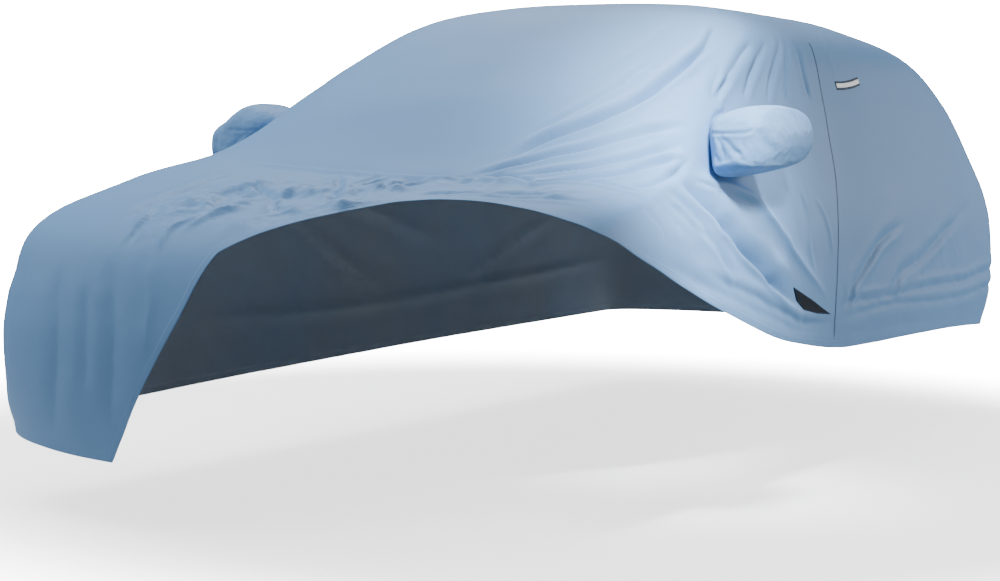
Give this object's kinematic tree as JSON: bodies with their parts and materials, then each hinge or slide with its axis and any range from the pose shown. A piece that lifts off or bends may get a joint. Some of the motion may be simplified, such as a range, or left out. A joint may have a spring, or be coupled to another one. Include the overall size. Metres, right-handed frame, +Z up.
{
  "type": "car cover",
  "caption": "Fitted hatchback cover of coated cloth, draped hollow, with mirror pockets, a door zip and its front left corner drawn back.",
  "frame": {"origin": "against the underside of the cloth at the top of the roof, on the centre line", "axes": "+X to the car's left, +Y to its rear, +Z up"},
  "size_m": [1.975, 3.9369, 1.332],
  "materials": {
    "coated_cloth": "light steel blue taffeta with a satin coating",
    "dark_cloth": "dark navy coated cloth",
    "zip_tape": "slate blue woven tape",
    "zip_chain": "slate blue moulded teeth",
    "navy_webbing": "navy woven webbing",
    "reflector": "white retroreflective band"
  },
  "bodies": {
    "root": {"cover_body": "coated_cloth", "mirror_pocket_left": "coated_cloth", "mirror_pocket_right": "coated_cloth", "gusset": "dark_cloth", "zip_tape": "zip_tape", "zip_chain": "zip_chain", "strip_webbing": "navy_webbing", "strip_reflector": "reflector"}
  },
  "joints": []
}
